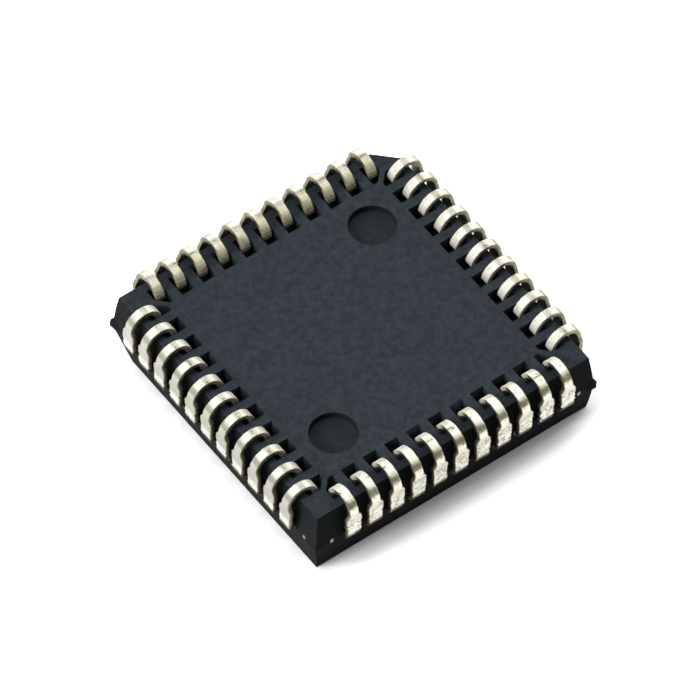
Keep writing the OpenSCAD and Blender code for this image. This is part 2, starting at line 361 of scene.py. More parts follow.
@dataclass(frozen=True)
class EpoxyFinish:
    """Blue-black moulding compound with matte grain, and painted light and shade.

    The level faces and the slot walls next to the belly are painted lighter as lit, and the other walls,
    the recess floors and the slots darker in a painted-shade colour.
    """

    height: float
    dark: Colour = (0.0268, 0.0325, 0.0385, 1.0)
    light: Colour = (0.0456, 0.0548, 0.0642, 1.0)
    # The wall colour is painted shade on the walls, the recess floors and the slots.
    wall: Colour = (0.0178, 0.0195, 0.0203, 1.0)
    speck: Colour = (0.137, 0.150, 0.162, 1.0)
    smoothest: float = 0.50
    roughest: float = 0.68
    refraction: float = 1.12
    specular: float = 0.2
    cloud_share: float = 0.08
    level_from: float = 0.60
    level_to: float = 0.97
    # Depths where the painted shade of the recesses and the slots sets in.
    recess_floor: float = 0.38
    recess_share: float = 0.45
    lip: float = 0.05
    hollow_floor: float = 0.90
    # Where the painted light on the slot walls reaches, and how deep it goes.
    mouth_from: float = 6.2
    mouth_to: float = 7.7
    mouth_depth: float = 0.9
    mouth_full: float = 0.35
    mouth_soft: float = 0.1

    def painted_light_faces(self, graph: Graph, place: Socket) -> Socket:
        """Masks the painted light on the level faces: full outside, less in the recesses and none in the
        slots, which get painted shade.

        Args:
            graph: The material's graph.
            place: Place on the body in millimetres.

        Returns:
            The mask.
        """
        normal = graph.node("ShaderNodeNewGeometry").outputs["Normal"]
        upright = graph.math("ABSOLUTE", graph.parts(normal)["Z"])
        level = graph.span(upright, self.level_from, self.level_to)
        half = self.height / 2
        off = graph.math("ABSOLUTE", graph.math("SUBTRACT", graph.parts(place)["Z"], half))
        # Painted shade: the recess floors keep less of the lit colour, and the slots none.
        recess_painted_shade = graph.span(off, half - self.recess_floor, half - self.lip, self.recess_share, 1.0)
        hollow = graph.span(off, half - self.hollow_floor, half - self.recess_floor)
        return graph.product(level, recess_painted_shade, hollow)

    def slot_mouth_painted_light(self, graph: Graph, place: Socket) -> Socket:
        """Masks painted light on the slot walls next to the belly, falling off into painted shade with
        depth.

        Args:
            graph: The material's graph.
            place: Place on the body in millimetres.

        Returns:
            The mask.
        """
        folded = graph.node("ShaderNodeVectorMath", {0: place}, operation="ABSOLUTE").outputs["Vector"]
        parts = graph.parts(folded)
        reach = graph.math("MAXIMUM", parts["X"], parts["Y"])
        rise = graph.span(reach, self.mouth_from, self.mouth_from + self.mouth_soft)
        fall = graph.span(reach, self.mouth_to, self.mouth_to + self.mouth_soft, 1.0, 0.0)
        # Painted shade deepens towards the slot floor.
        depth = graph.span(parts["Z"], self.height - self.mouth_depth, self.height - self.mouth_full)
        return graph.product(rise, fall, depth)

    def build(self, effects: Effects) -> Material:
        """Builds the material of the moulded body.

        Args:
            effects: The shared effects.

        Returns:
            The material.
        """
        material, graph, shader = new_material("moulded epoxy")
        place = graph.place_in_mm()
        grain = graph.effect(effects.grain, place, Scale=12.0)
        clouds = graph.effect(effects.blotches, place, Scale=0.9, Cover=0.45)["Mask"]
        specks = graph.effect(effects.specks, place, Density=2.0, Radius=0.06, Share=0.05)["Mask"]
        # Painted light and shade: lit faces take the grained colour, the rest the darker wall colour.
        faces = graph.both("MAXIMUM", self.painted_light_faces(graph, place), self.slot_mouth_painted_light(graph, place))
        tone = graph.mix(grain["Tone"], self.dark, self.light)
        colour = graph.layered(tone, [(clouds, self.cloud_share, self.light), (specks, 1.0, self.speck)])
        graph.feed(shader["Base Color"], graph.mix(faces, self.wall, colour))
        graph.feed(shader["Roughness"], graph.span(grain["Tone"], 0.0, 1.0, self.smoothest, self.roughest))
        shader["IOR"].default_value = self.refraction
        shader["Specular IOR Level"].default_value = self.specular
        graph.feed(shader["Normal"], graph.bump(grain["Height"], strength=0.3, depth=0.015))
        return material


@dataclass(frozen=True)
class TinFinish:
    """Tin plate on the formed leads, by the distance along the strip from the body's wall.

    The bend is rougher and painted near-black as shade, the shoulder is cream with mottling and a net of
    cracks, the neck is greyer, the foot of the curl is rougher and carries a dark olive band of painted
    reflection, broken by smears, its crest a soft rub mark and a fine line, and the tip is less metallic.
    Each side of the carrier has its own share of the rub marks, of dull plate and of yellowed tips.
    """

    bright: Colour = (0.97, 0.97, 0.90, 1.0)
    warm: Colour = (0.80, 0.775, 0.58, 1.0)
    tarnish: Colour = (0.48, 0.44, 0.28, 1.0)
    necked: Colour = (0.66, 0.64, 0.53, 1.0)
    # Dark and olive colours of the painted reflection band at the curl's foot.
    painted_dark_reflection: Colour = (0.21, 0.195, 0.105, 1.0)
    painted_olive_reflection: Colour = (0.58, 0.56, 0.31, 1.0)
    crack: Colour = (0.24, 0.20, 0.12, 1.0)
    sheared: Colour = (0.36, 0.335, 0.24, 1.0)
    # Near-black painted shade on the lower bend.
    bend: Colour = (0.085, 0.072, 0.050, 1.0)
    rubbed: Colour = (0.40, 0.39, 0.29, 1.0)
    dulled: Colour = (0.53, 0.53, 0.46, 1.0)
    yellowed: Colour = (0.70, 0.66, 0.41, 1.0)
    roughness: float = 0.22
    worn_roughness: float = 0.44
    streak_roughness: float = 0.20
    rubbed_metal: float = 0.45
    unrubbed_metal: float = 0.12
    full_rub: float = 0.9
    wander: float = 0.10
    calmest: float = 0.3
    # Where the painted shade of the bend ends along the strip.
    foot_from: float = 0.50
    foot_to: float = 0.62
    shoulder_band: Band = (0.56, 1.75, 0.10)
    neck_band: Band = (1.45, 1.95, 0.20)
    dull_band: Band = (1.25, 2.32, 0.35)
    # Bands of the painted reflection at the curl's foot: an olive halo round a darker middle.
    halo_band: Band = (2.27, 2.61, 0.30)
    scuff_band: Band = (2.37, 2.51, 0.13)
    rub_band: Band = (3.09, 3.26, 0.13)
    crest_band: Band = (3.13, 3.18, 0.04)
    tip_lines: tuple[Band, Band] = ((4.04, 4.06, 0.035), (4.19, 4.22, 0.04))
    aged_from: float = 3.23
    aged_to: float = 3.40
    tip_from: float = 3.25
    tip_to: float = 3.75
    matte_from: float = 3.45
    matte_to: float = 3.80

    def between(self, graph: Graph, along: Socket, band: Band) -> Socket:
        """Masks one band of the strip.

        Args:
            graph: The material's graph.
            along: Distance along the strip.
            band: Where the mask has risen, where it starts to fall, and the length of both slopes.

        Returns:
            The mask.
        """
        start, end, soft = band
        fall = graph.span(along, end, end + soft, 1.0, 0.0)
        return graph.product(graph.span(along, start - soft, start), fall)

    def build(self, effects: Effects) -> Material:
        """Builds the material of the leads.

        Args:
            effects: The shared effects.

        Returns:
            The material.
        """
        material, graph, shader = new_material("tin plate")
        place = graph.place_in_mm()
        at = graph.parts(graph.node("ShaderNodeUVMap", uv_map="strip").outputs["UV"])
        edge = graph.node("ShaderNodeAttribute", attribute_name="sheared").outputs["Fac"]
        serial = graph.node("ShaderNodeAttribute", attribute_name="serial").outputs["Fac"]
        wear = graph.parts(graph.node("ShaderNodeAttribute", attribute_name="wear").outputs["Vector"])
        strip = graph.node("ShaderNodeCombineXYZ", {"X": at["X"], "Y": at["Y"], "Z": serial}).outputs[0]
        patches = graph.effect(effects.blotches, place, Scale=2.4, Cover=0.5)["Mask"]
        stains = graph.effect(effects.blotches, place, Scale=4.5, Cover=0.30)["Mask"]
        smears = graph.effect(effects.blotches, place, Scale=3.2, Cover=0.66)["Mask"]
        nicks = graph.effect(effects.blotches, place, Scale=8.0, Cover=0.20)["Mask"]
        cracks = graph.effect(effects.crazing, place, Scale=2.2, Width=0.042, Cover=0.42)["Mask"]
        streaks = graph.effect(effects.streaks, strip, Lines=14.0, Stretch=0.10)["Height"]
        grain = graph.effect(effects.grain, place, Scale=11.0)
        tone = grain["Tone"]

        along = graph.math("MULTIPLY_ADD", stains, self.wander, at["Y"])
        within = partial(self.between, graph, along)
        # Painted shade: the lower bend fades into near-black.
        foot = graph.span(along, self.foot_from, self.foot_to, 1.0, 0.0)
        shoulder = within(self.shoulder_band)
        tip = graph.span(along, self.tip_from, self.tip_to)
        calm = graph.span(wear["Y"], 0.0, 1.0, 1.0, self.calmest)
        # Painted reflection: a dark olive band where the curl's foot mirrors dark surroundings, broken by
        # smears.
        broken = graph.span(wear["Y"], 0.0, 1.0, graph.both("ADD", smears, 0.25), 0.4)
        scuffs_and_painted_reflection = graph.product(within(self.scuff_band), broken)
        painted_reflection_halo = graph.product(within(self.halo_band), calm)
        dull = graph.product(within(self.dull_band), wear["Y"])
        uneven = graph.span(tone, 0.0, 1.0, 0.6, 1.0)
        rub = graph.product(self.between(graph, at["Y"], self.rub_band), wear["X"], uneven)
        crest = graph.product(within(self.crest_band), patches)
        lines = graph.both("ADD", *[within(band) for band in self.tip_lines])
        lines = graph.product(lines, wear["Z"], graph.span(tone, 0.0, 0.5, 0.2, 1.0))
        aged = graph.span(along, self.aged_from, self.aged_to)
        aged = graph.product(aged, wear["Z"], graph.span(patches, 0.0, 1.0, 0.7, 1.0))

        plate = graph.layered(self.bright, [
            (patches, 0.5, self.warm),
            (tip, 0.10, self.warm),
            (within(self.neck_band), 0.6, self.necked),
            (graph.product(stains, calm), 0.55, self.tarnish),
            (dull, 0.9, self.dulled),
            (aged, 0.85, self.yellowed),
            (graph.product(aged, smears), 0.35, self.tarnish),
            # Painted reflection band at the curl's foot; the same mask also makes it rougher.
            (painted_reflection_halo, 0.5, self.painted_olive_reflection),
            (scuffs_and_painted_reflection, 0.75, self.painted_dark_reflection),
            (rub, 0.85, self.rubbed),
            (crest, 0.85, self.crack),
            (lines, 0.8, self.crack),
            (graph.product(shoulder, tone, calm), 0.30, self.tarnish),
            (graph.product(cracks, graph.span(shoulder, 0.0, 1.0, 0.25, 1.0), calm), 1.0, self.crack),
            (graph.product(nicks, calm), 0.5, self.crack),
            (graph.product(edge, graph.span(tip, 0.0, 1.0, 0.92, 0.55)), 1.0, self.sheared),
            # Painted shade on the lower bend.
            (foot, 0.92, self.bend),
        ])
        graph.feed(shader["Base Color"], plate)
        metal = graph.span(wear["X"], 0.0, self.full_rub, self.unrubbed_metal, self.rubbed_metal)
        graph.feed(shader["Metallic"], graph.span(along, self.matte_from, self.matte_to, 1.0, metal))

        worn = graph.both("ADD", graph.product(edge, 0.6), graph.both("MAXIMUM", scuffs_and_painted_reflection, foot))
        worn = graph.both("ADD", worn, graph.product(tip, 0.5))
        rough = graph.span(worn, 0.0, 1.0, self.roughness, self.worn_roughness)
        graph.feed(shader["Roughness"], graph.math("MULTIPLY_ADD", streaks, self.streak_roughness, rough))
        drawn = graph.bump(streaks, strength=0.6, depth=0.008)
        graph.feed(shader["Normal"], graph.bump(grain["Height"], strength=0.6, depth=0.016, normal=drawn))
        return material


@dataclass(frozen=True)
class SheetMetalFinish:
    """Bare rolled metal: the alloy of the lead frame or the gold of the wires."""

    name: str
    colour: Colour
    dull: Colour
    smoothest: float
    roughest: float

    def build(self, effects: Effects) -> Material:
        """Builds the metal's material.

        Args:
            effects: The shared effects.

        Returns:
            The material.
        """
        material, graph, shader = new_material(self.name)
        place = graph.place_in_mm()
        stains = graph.effect(effects.blotches, place, Scale=5.0, Cover=0.5)["Mask"]
        grain = graph.effect(effects.grain, place, Scale=16.0)
        graph.feed(shader["Base Color"], graph.layered(self.colour, [(stains, 0.7, self.dull)]))
        shader["Metallic"].default_value = 1.0
        graph.feed(shader["Roughness"], graph.span(grain["Tone"], 0.0, 1.0, self.smoothest, self.roughest))
        graph.feed(shader["Normal"], graph.bump(grain["Height"], strength=0.3, depth=0.004))
        return material


@dataclass(frozen=True)
class AttachFinish:
    """Silver-filled adhesive film under the die: grey paste with bright flakes."""

    paste: Colour = (0.33, 0.34, 0.35, 1.0)
    flake: Colour = (0.72, 0.73, 0.74, 1.0)

    def build(self, effects: Effects) -> Material:
        """Builds the film's material.

        Args:
            effects: The shared effects.

        Returns:
            The material.
        """
        material, graph, shader = new_material("die attach film")
        place = graph.place_in_mm()
        flakes = graph.effect(effects.specks, place, Density=24.0, Radius=0.3, Share=0.6)["Mask"]
        grain = graph.effect(effects.grain, place, Scale=14.0)
        graph.feed(shader["Base Color"], graph.mix(flakes, self.paste, self.flake))
        graph.feed(shader["Metallic"], graph.product(flakes, 0.8))
        graph.feed(shader["Roughness"], graph.span(grain["Tone"], 0.0, 1.0, 0.38, 0.6))
        graph.feed(shader["Normal"], graph.bump(grain["Height"], strength=0.4, depth=0.006))
        return material


@dataclass(frozen=True)
class SiliconFinish:
    """Polished silicon with a faint grid of circuit blocks."""

    field: Colour = (0.060, 0.075, 0.100, 1.0)
    block: Colour = (0.120, 0.110, 0.150, 1.0)
    street: Colour = grey(0.3)
    refraction: float = 2.2

    def build(self, effects: Effects) -> Material:
        """Builds the die's material.

        Args:
            effects: The shared effects.

        Returns:
            The material.
        """
        material, graph, shader = new_material("silicon")
        place = graph.place_in_mm()
        inputs = {"Vector": place, "Scale": 1.0, "Brick Width": 0.9, "Row Height": 0.55, "Mortar Size": 0.03}
        streets = graph.node("ShaderNodeTexBrick", inputs).outputs["Fac"]
        tint = graph.effect(effects.blotches, place, Scale=1.6, Cover=0.5)["Mask"]
        layers = [(tint, 1.0, self.block), (streets, 0.6, self.street)]
        graph.feed(shader["Base Color"], graph.layered(self.field, layers))
        graph.feed(shader["Roughness"], graph.span(streets, 0.0, 1.0, 0.12, 0.3))
        shader["IOR"].default_value = self.refraction
        return material


@dataclass(frozen=True)
class FloorFinish:
    """White paper floor that keeps the carrier's shadow, and shows whiter to eye and mirror."""

    paper: float = 0.70
    mirrored: float = 1.31
    shown: float = 1.69
    fibre: float = 0.985

    def build(self) -> Material:
        """Builds the floor's material.

        Returns:
            The material.
        """
        material = bpy.data.materials.new("white floor")
        material.use_nodes = True
        nodes = material.node_tree.nodes
        nodes.remove(nodes["Principled BSDF"])
        graph = Graph(material.node_tree)
        seen = graph.node("ShaderNodeLightPath").outputs
        through = graph.both("MAXIMUM", seen["Is Glossy Ray"], seen["Is Transmission Ray"])
        white = graph.mix(through, grey(self.paper), grey(self.mirrored))
        white = graph.mix(seen["Is Camera Ray"], white, grey(self.shown))
        clouds = graph.noise(graph.place_in_mm(), 0.6, detail=3.0)[0]
        tint = graph.mix(clouds, graph.scaled(white, self.fibre), white)
        matte = graph.node("ShaderNodeBsdfDiffuse", {"Color": tint}).outputs[0]
        graph.feed(nodes["Material Output"].inputs["Surface"], matte)
        return material


# Solids in millimetres


def block(low: Point, high: Point) -> Solid:
    """Makes a box between two corners.

    Args:
        low: Its lowest corner.
        high: Its highest corner.

    Returns:
        The box.
    """
    solid = bmesh.new()
    middle = (Vector(low) + Vector(high)) / 2
    size = Vector(high) - Vector(low)
    matrix = Matrix.Translation(middle) @ Matrix.Diagonal((*size, 1.0))
    bmesh.ops.create_cube(solid, size=1.0, matrix=matrix)
    return solid


def trim(solid: Solid, point: Point, outward: Point) -> None:
    """Cuts off what lies beyond a plane and closes the convex solid again.

    Args:
        solid: The convex solid to cut.
        point: A point of the plane.
        outward: Direction of the side that goes.
    """
    everything = solid.verts[:] + solid.edges[:] + solid.faces[:]
    result = bmesh.ops.bisect_plane(
        solid, geom=everything, plane_co=point, plane_no=outward, clear_outer=True
    )
    rim = [item for item in result["geom_cut"] if isinstance(item, bmesh.types.BMEdge)]
    if rim:
        bmesh.ops.contextual_create(solid, geom=rim)


def lathe(profile: Outline, centre: tuple[float, float], steps: int = 96) -> Solid:
    """Turns an outline about an upright axis into a closed solid.

    Args:
        profile: Radius and height of each point, from axis to axis.
        centre: Place of the axis in plan.
        steps: Number of sides.

    Returns:
        The turned solid.
    """
    solid = bmesh.new()
    turns = [2 * math.pi * step / steps for step in range(steps)]
    rings = []
    for radius, height in profile:
        around = turns if radius else turns[:1]
        ring = [(centre[0] + radius * math.cos(t), centre[1] + radius * math.sin(t), height) for t in around]
        rings.append([solid.verts.new(point) for point in ring])
    for low, high in zip(rings, rings[1:]):
        for step in range(steps):
            after = (step + 1) % steps
            places = ((low, step), (low, after), (high, after), (high, step))
            corners = [ring[place % len(ring)] for ring, place in places]
            solid.faces.new(list(dict.fromkeys(corners)))
    bmesh.ops.recalc_face_normals(solid, faces=solid.faces[:])
    return solid


def bridge(solid: Solid, rings: list[list[bmesh.types.BMVert]]) -> None:
    """Joins rings of vertices into a tube and closes both its ends.

    Args:
        solid: The solid that gets the faces.
        rings: Its rings in order, with equal numbers of vertices.
    """
    for low, high in zip(rings, rings[1:]):
        for step in range(len(low)):
            after = (step + 1) % len(low)
            solid.faces.new((low[step], low[after], high[after], high[step]))
    solid.faces.new(rings[0])
    solid.faces.new(rings[-1])


def to_mesh(name: str, solid: Solid) -> bpy.types.Mesh:
    """Turns a solid into a mesh and frees it.

    Args:
        name: The mesh's name.
        solid: The solid, which is used up.

    Returns:
        The mesh.
    """
    mesh = bpy.data.meshes.new(name)
    bmesh.ops.recalc_face_normals(solid, faces=solid.faces[:])
    solid.to_mesh(mesh)
    solid.free()
    return mesh


def gather(solids: list[Solid]) -> Solid:
    """Brings solids that don't touch into one.

    Args:
        solids: The solids, which are used up.

    Returns:
        The solid that holds them.
    """
    whole = bmesh.new()
    for solid in solids:
        piece = to_mesh("gathered", solid)
        whole.from_mesh(piece)
        bpy.data.meshes.remove(piece)
    return whole


def add_object(name: str, data: bpy.types.ID) -> Object:
    """Makes an object and links it to the scene.

    Args:
        name: The object's name.
        data: Its mesh, lamp or camera.

    Returns:
        The object.
    """
    made = bpy.data.objects.new(name, data)
    bpy.context.scene.collection.objects.link(made)
    return made


def combine(target: Solid, tool: Solid, how: Cut) -> Solid:
    """Joins a solid to another or cuts it out of it.

    Args:
        target: The solid that changes.
        tool: The solid that is added or removed.
        how: Which of the two.

    Returns:
        The result. Both solids given are used up.
    """
    base = add_object("base", to_mesh("base", target))
    other = add_object("other", to_mesh("other", tool))
    boolean = base.modifiers.new("boolean", "BOOLEAN")
    boolean.operation = how.value
    boolean.solver = "EXACT"
    boolean.object = other
    bpy.context.view_layer.update()
    made = bpy.data.meshes.new_from_object(base.evaluated_get(bpy.context.evaluated_depsgraph_get()))
    result = bmesh.new()
    result.from_mesh(made)
    for item in (base, other):
        mesh = item.data
        bpy.data.objects.remove(item)
        bpy.data.meshes.remove(mesh)
    bpy.data.meshes.remove(made)
    return result


def quarter_turn(side: float) -> Matrix:
    """Returns the turn from the +Y side to another one, counted anticlockwise."""
    return Matrix.Rotation(side * math.pi / 2, 4, "Z")


def new_piece(name: str, solid: Solid, material: Material, sharp: float) -> Object:
    """Makes a solid into a piece that rides on the carrier.

    Args:
        name: The piece's name.
        solid: Its shape in millimetres, which is used up.
        material: Its finish.
        sharp: Angle in degrees from which an edge stays sharp.

    Returns:
        The piece.
    """
    mesh = to_mesh(name, solid)
    mesh.shade_smooth()
    mesh.set_sharp_from_angle(angle=math.radians(sharp))
    mesh.transform(Matrix.Scale(MM, 4))
    mesh.materials.clear()
    mesh.materials.append(material)
    piece = add_object(name, mesh)
    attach(piece, ROOT)
    return piece


# Sub-assemblies


@dataclass(frozen=True)
class Layout:
    """Sizes that the CAD frame gives, in millimetres, and the places of the leads."""

    belly: float
    wall: float
    frame_low: float
    frame_high: float
    lead_face: float
    seat: float
    side_leads: int
    pitch: float = 1.27

    @classmethod
    def from_frame(cls, lead_stand: float = 0.44, sheet: float = 0.25) -> "Layout":
        """Reads the frame.

        Args:
            lead_stand: How far the leads stand out from the wall.
            sheet: Thickness of the lead sheet.

        Returns:
            The layout.
        """
        low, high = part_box("lead_01")
        leads = [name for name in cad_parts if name.startswith("lead_")]
        return cls(
            belly=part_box("package_body")[1].z / MM,
            wall=high.y / MM - lead_stand,
            frame_low=low.z / MM,
            frame_high=low.z / MM + sheet,
            lead_face=high.y / MM,
            seat=high.z / MM,
            side_leads=len(leads) // SIDE_COUNT,
        )

    @property
    def last_step(self) -> int:
        """Steps from the middle lead of a side to its last one."""
        return self.side_leads // 2

    def lead_place(self, number: int) -> tuple[int, int]:
        """Returns a lead's side, counted clockwise from +Y, and its step along that side."""
        place = (number - 1 + self.last_step) % (self.side_leads * SIDE_COUNT)
        return divmod(place, self.side_leads)

    def lead_turn(self, number: int) -> Matrix:
        """Returns the move that brings a lead made in the middle of the +Y side to its place."""
        side, step = self.lead_place(number)
        return quarter_turn(-side) @ Matrix.Translation(((step - self.last_step) * self.pitch, 0, 0))


@dataclass
class MouldedBody:
    """The epoxy body: drafted block, mould nubs, belly slots, recesses and softened edges."""

    layout: Layout
    draft: float = math.radians(7.5)
    corner_cut: float = 0.08
    index_cut: float = 1.25
    bevel_run: float = 1.345
    bevel_strip: float = 0.12
    slot_width: float = 0.78
    slot_depth: float = 1.0
    slot_inner: float = 6.40
    slot_outer: float = 7.59
    corner_rib: float = 0.25
    recess_radius: float = 1.19
    recess_depth: float = 0.38
    recess_at: float = 4.45
    recess_foot: float = 0.10
    dimple_radius: float = 0.8
    dimple_depth: float = 0.12
    dimple_land: float = 0.5
    nub_out: float = 0.15
    nub_width: float = 0.4
    prong_width: float = 0.18
    prong_step: float = 1.0
    prong_depth: float = 0.3
    tie_width: float = 0.4
    edge_radius: float = 0.05
    edge_segments: int = 2
    lip_radius: float = 0.04
    flat_angle: float = math.radians(0.5)
    turned_angle: float = 0.06
    sharp_angle: float = 50.0
    cutter_reach: float = 1.0

    def corner_reach(self, cut: float) -> float:
        """Returns the distance from the centre to a corner chamfer of that leg."""
        return (self.layout.wall * 2 - cut) / math.sqrt(2)

    def drafted_block(self) -> Solid:
        """Makes the convex block between the faces, the walls, the chamfers and the bevel.

        Returns:
            The block.
        """
        size = self.layout
        reach = 2 * size.wall
        solid = block((-reach, -reach, 0), (reach, reach, size.belly))
        level, rise = math.cos(self.draft), math.sin(self.draft)
        cuts = (
            (size.frame_low, (level, 0, -rise)),
            (size.frame_low, (1, 0, 0)),
            (size.frame_high, (level, 0, rise)),
        )
        for eighth in range(2 * SIDE_COUNT):
            at = size.wall
            if eighth % 2:
                at = self.corner_reach(self.index_cut if eighth == 1 else self.corner_cut)
            turn = Matrix.Rotation(eighth * math.pi / 4, 3, "Z")
            for height, lean in cuts:
                trim(solid, turn @ Vector((at, 0, height)), turn @ Vector(lean))
        top = size.frame_low - self.bevel_strip
        rim = size.wall - self.bevel_strip * math.tan(self.draft)
        foot = size.wall - self.bevel_run
        trim(solid, (0, foot, 0), (0, top, foot - rim))
        return solid

    def nubs(self) -> Solid:
        """Makes the two mould nubs at the parting line.

        Returns:
            The nubs.
        """
        size = self.layout
        corner = self.corner_reach(self.corner_cut)
        out, half = self.nub_out, self.nub_width / 2
        outline = [(corner - 2 * half, -2 * half), (corner - out, -half - out), (corner + out, -half / 2)]
        outline += [(reach, -across) for reach, across in reversed(outline)]
        made = []
        for angle in (-45, 135):
            turn = Matrix.Rotation(math.radians(angle), 3, "Z")
            solid = bmesh.new()
            bridge(solid, [
                [solid.verts.new(turn @ Vector((*point, height))) for point in outline]
                for height in (size.frame_low, size.frame_high)
            ])
            made.append(solid)
        return gather(made)

    def slots(self) -> Solid:
        """Makes what the belly slots take away, with the ribs at the corners kept.

        Returns:
            The cutters.
        """
        size = self.layout
        half = self.slot_width / 2
        low, high = size.belly - self.slot_depth, size.belly + self.cutter_reach
        lean = self.corner_rib / math.sqrt(2)
        made = []
        for side in range(SIDE_COUNT):
            for step in range(-size.last_step, size.last_step + 1):
                at = step * size.pitch
                solid = block((at - half, self.slot_inner, low), (at + half, self.slot_outer, high))
                if abs(step) == size.last_step:
                    trim(solid, (0, lean, 0), (math.copysign(1, step), -1, 0))
                solid.transform(quarter_turn(side))
                made.append(solid)
        return gather(made)

    def prong_pockets(self) -> Solid:
        """Makes the pockets in the walls that the cut ends of the tie bars fill.

        Returns:
            The cutters.
        """
        size = self.layout
        half, beyond = self.prong_width / 2, size.wall + size.pitch
        at = size.last_step * size.pitch + self.prong_step
        inner = size.wall - self.prong_depth
        ends = [(side, place) for side in range(SIDE_COUNT) for place in (-at, at)]
        beside_index = ((0, at), (SIDE_COUNT - 1, -at))
        made = []
        for side, place in [end for end in ends if end not in beside_index]:
            solid = block((place - half, inner, size.frame_low), (place + half, beyond, size.frame_high))
            solid.transform(quarter_turn(side))
            made.append(solid)
        reach = self.corner_reach(self.index_cut)
        low = (reach - self.prong_depth, -self.tie_width / 2, size.frame_low)
        index = block(low, (reach + self.cutter_reach, self.tie_width / 2, size.frame_high))
        index.transform(quarter_turn(0.5))
        return gather([*made, index])

    def recesses(self) -> Solid:
        """Makes the two round ejector recesses in the belly and the dimple in the top face.

        Returns:
            The cutters.
        """
        belly, lip, foot = self.layout.belly, self.lip_radius, self.recess_foot
        beyond = self.cutter_reach
        floor = belly - self.recess_depth
        radius = self.recess_radius
        quarter = [step * math.pi / 8 for step in range(5)]
        profile = [(0, floor)]
        profile += [(radius - foot + foot * math.sin(t), floor + foot - foot * math.cos(t)) for t in quarter]
        profile += [(radius + lip - lip * math.cos(t), belly - lip + lip * math.sin(t)) for t in quarter]
        profile += [(radius + lip, belly + beyond), (0, belly + beyond)]
        made = [lathe(profile, (at, at)) for at in (-self.recess_at, self.recess_at)]
        radius, depth = self.dimple_radius, self.dimple_depth
        bowl = [(0, -beyond), (radius + lip, -beyond), (radius + lip, 0.0), (radius, lip / 2)]
        bowl += [(radius - depth / 2, depth), (0, depth)]
        centre = (0, self.layout.wall - self.bevel_run - self.dimple_land - radius)
        return gather([*made, lathe(bowl, centre)])

    def soften(self, solid: Solid) -> None:
        """Rounds every edge of the moulding by a small radius.

        Args:
            solid: The moulding.
        """
        bmesh.ops.dissolve_limit(
            solid, angle_limit=self.flat_angle, verts=solid.verts[:], edges=solid.edges[:]
        )
        turned = [
            edge for edge in solid.edges
            if edge.is_manifold and abs(edge.calc_face_angle(0)) > self.turned_angle
        ]
        bmesh.ops.bevel(
            solid, geom=turned, offset=self.edge_radius, offset_type="OFFSET", segments=self.edge_segments,
            profile=0.5, affect="EDGES", clamp_overlap=True,
        )

    def build(self, material: Material) -> Object:
        """Makes the body and puts it in the place of its CAD node.

        Args:
            material: The epoxy finish.

        Returns:
            The piece.
        """
        solid = combine(self.drafted_block(), self.nubs(), Cut.JOIN)
        solid = combine(solid, gather([self.slots(), self.prong_pockets()]), Cut.REMOVE)
        self.soften(solid)
        solid = combine(solid, self.recesses(), Cut.REMOVE)
        piece = new_piece("moulded_body", solid, material, self.sharp_angle)
        normals = piece.modifiers.new("face weighted normals", "WEIGHTED_NORMAL")
        normals.keep_sharp = True
        normals.weight = 100
        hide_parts("package_body")
        return piece


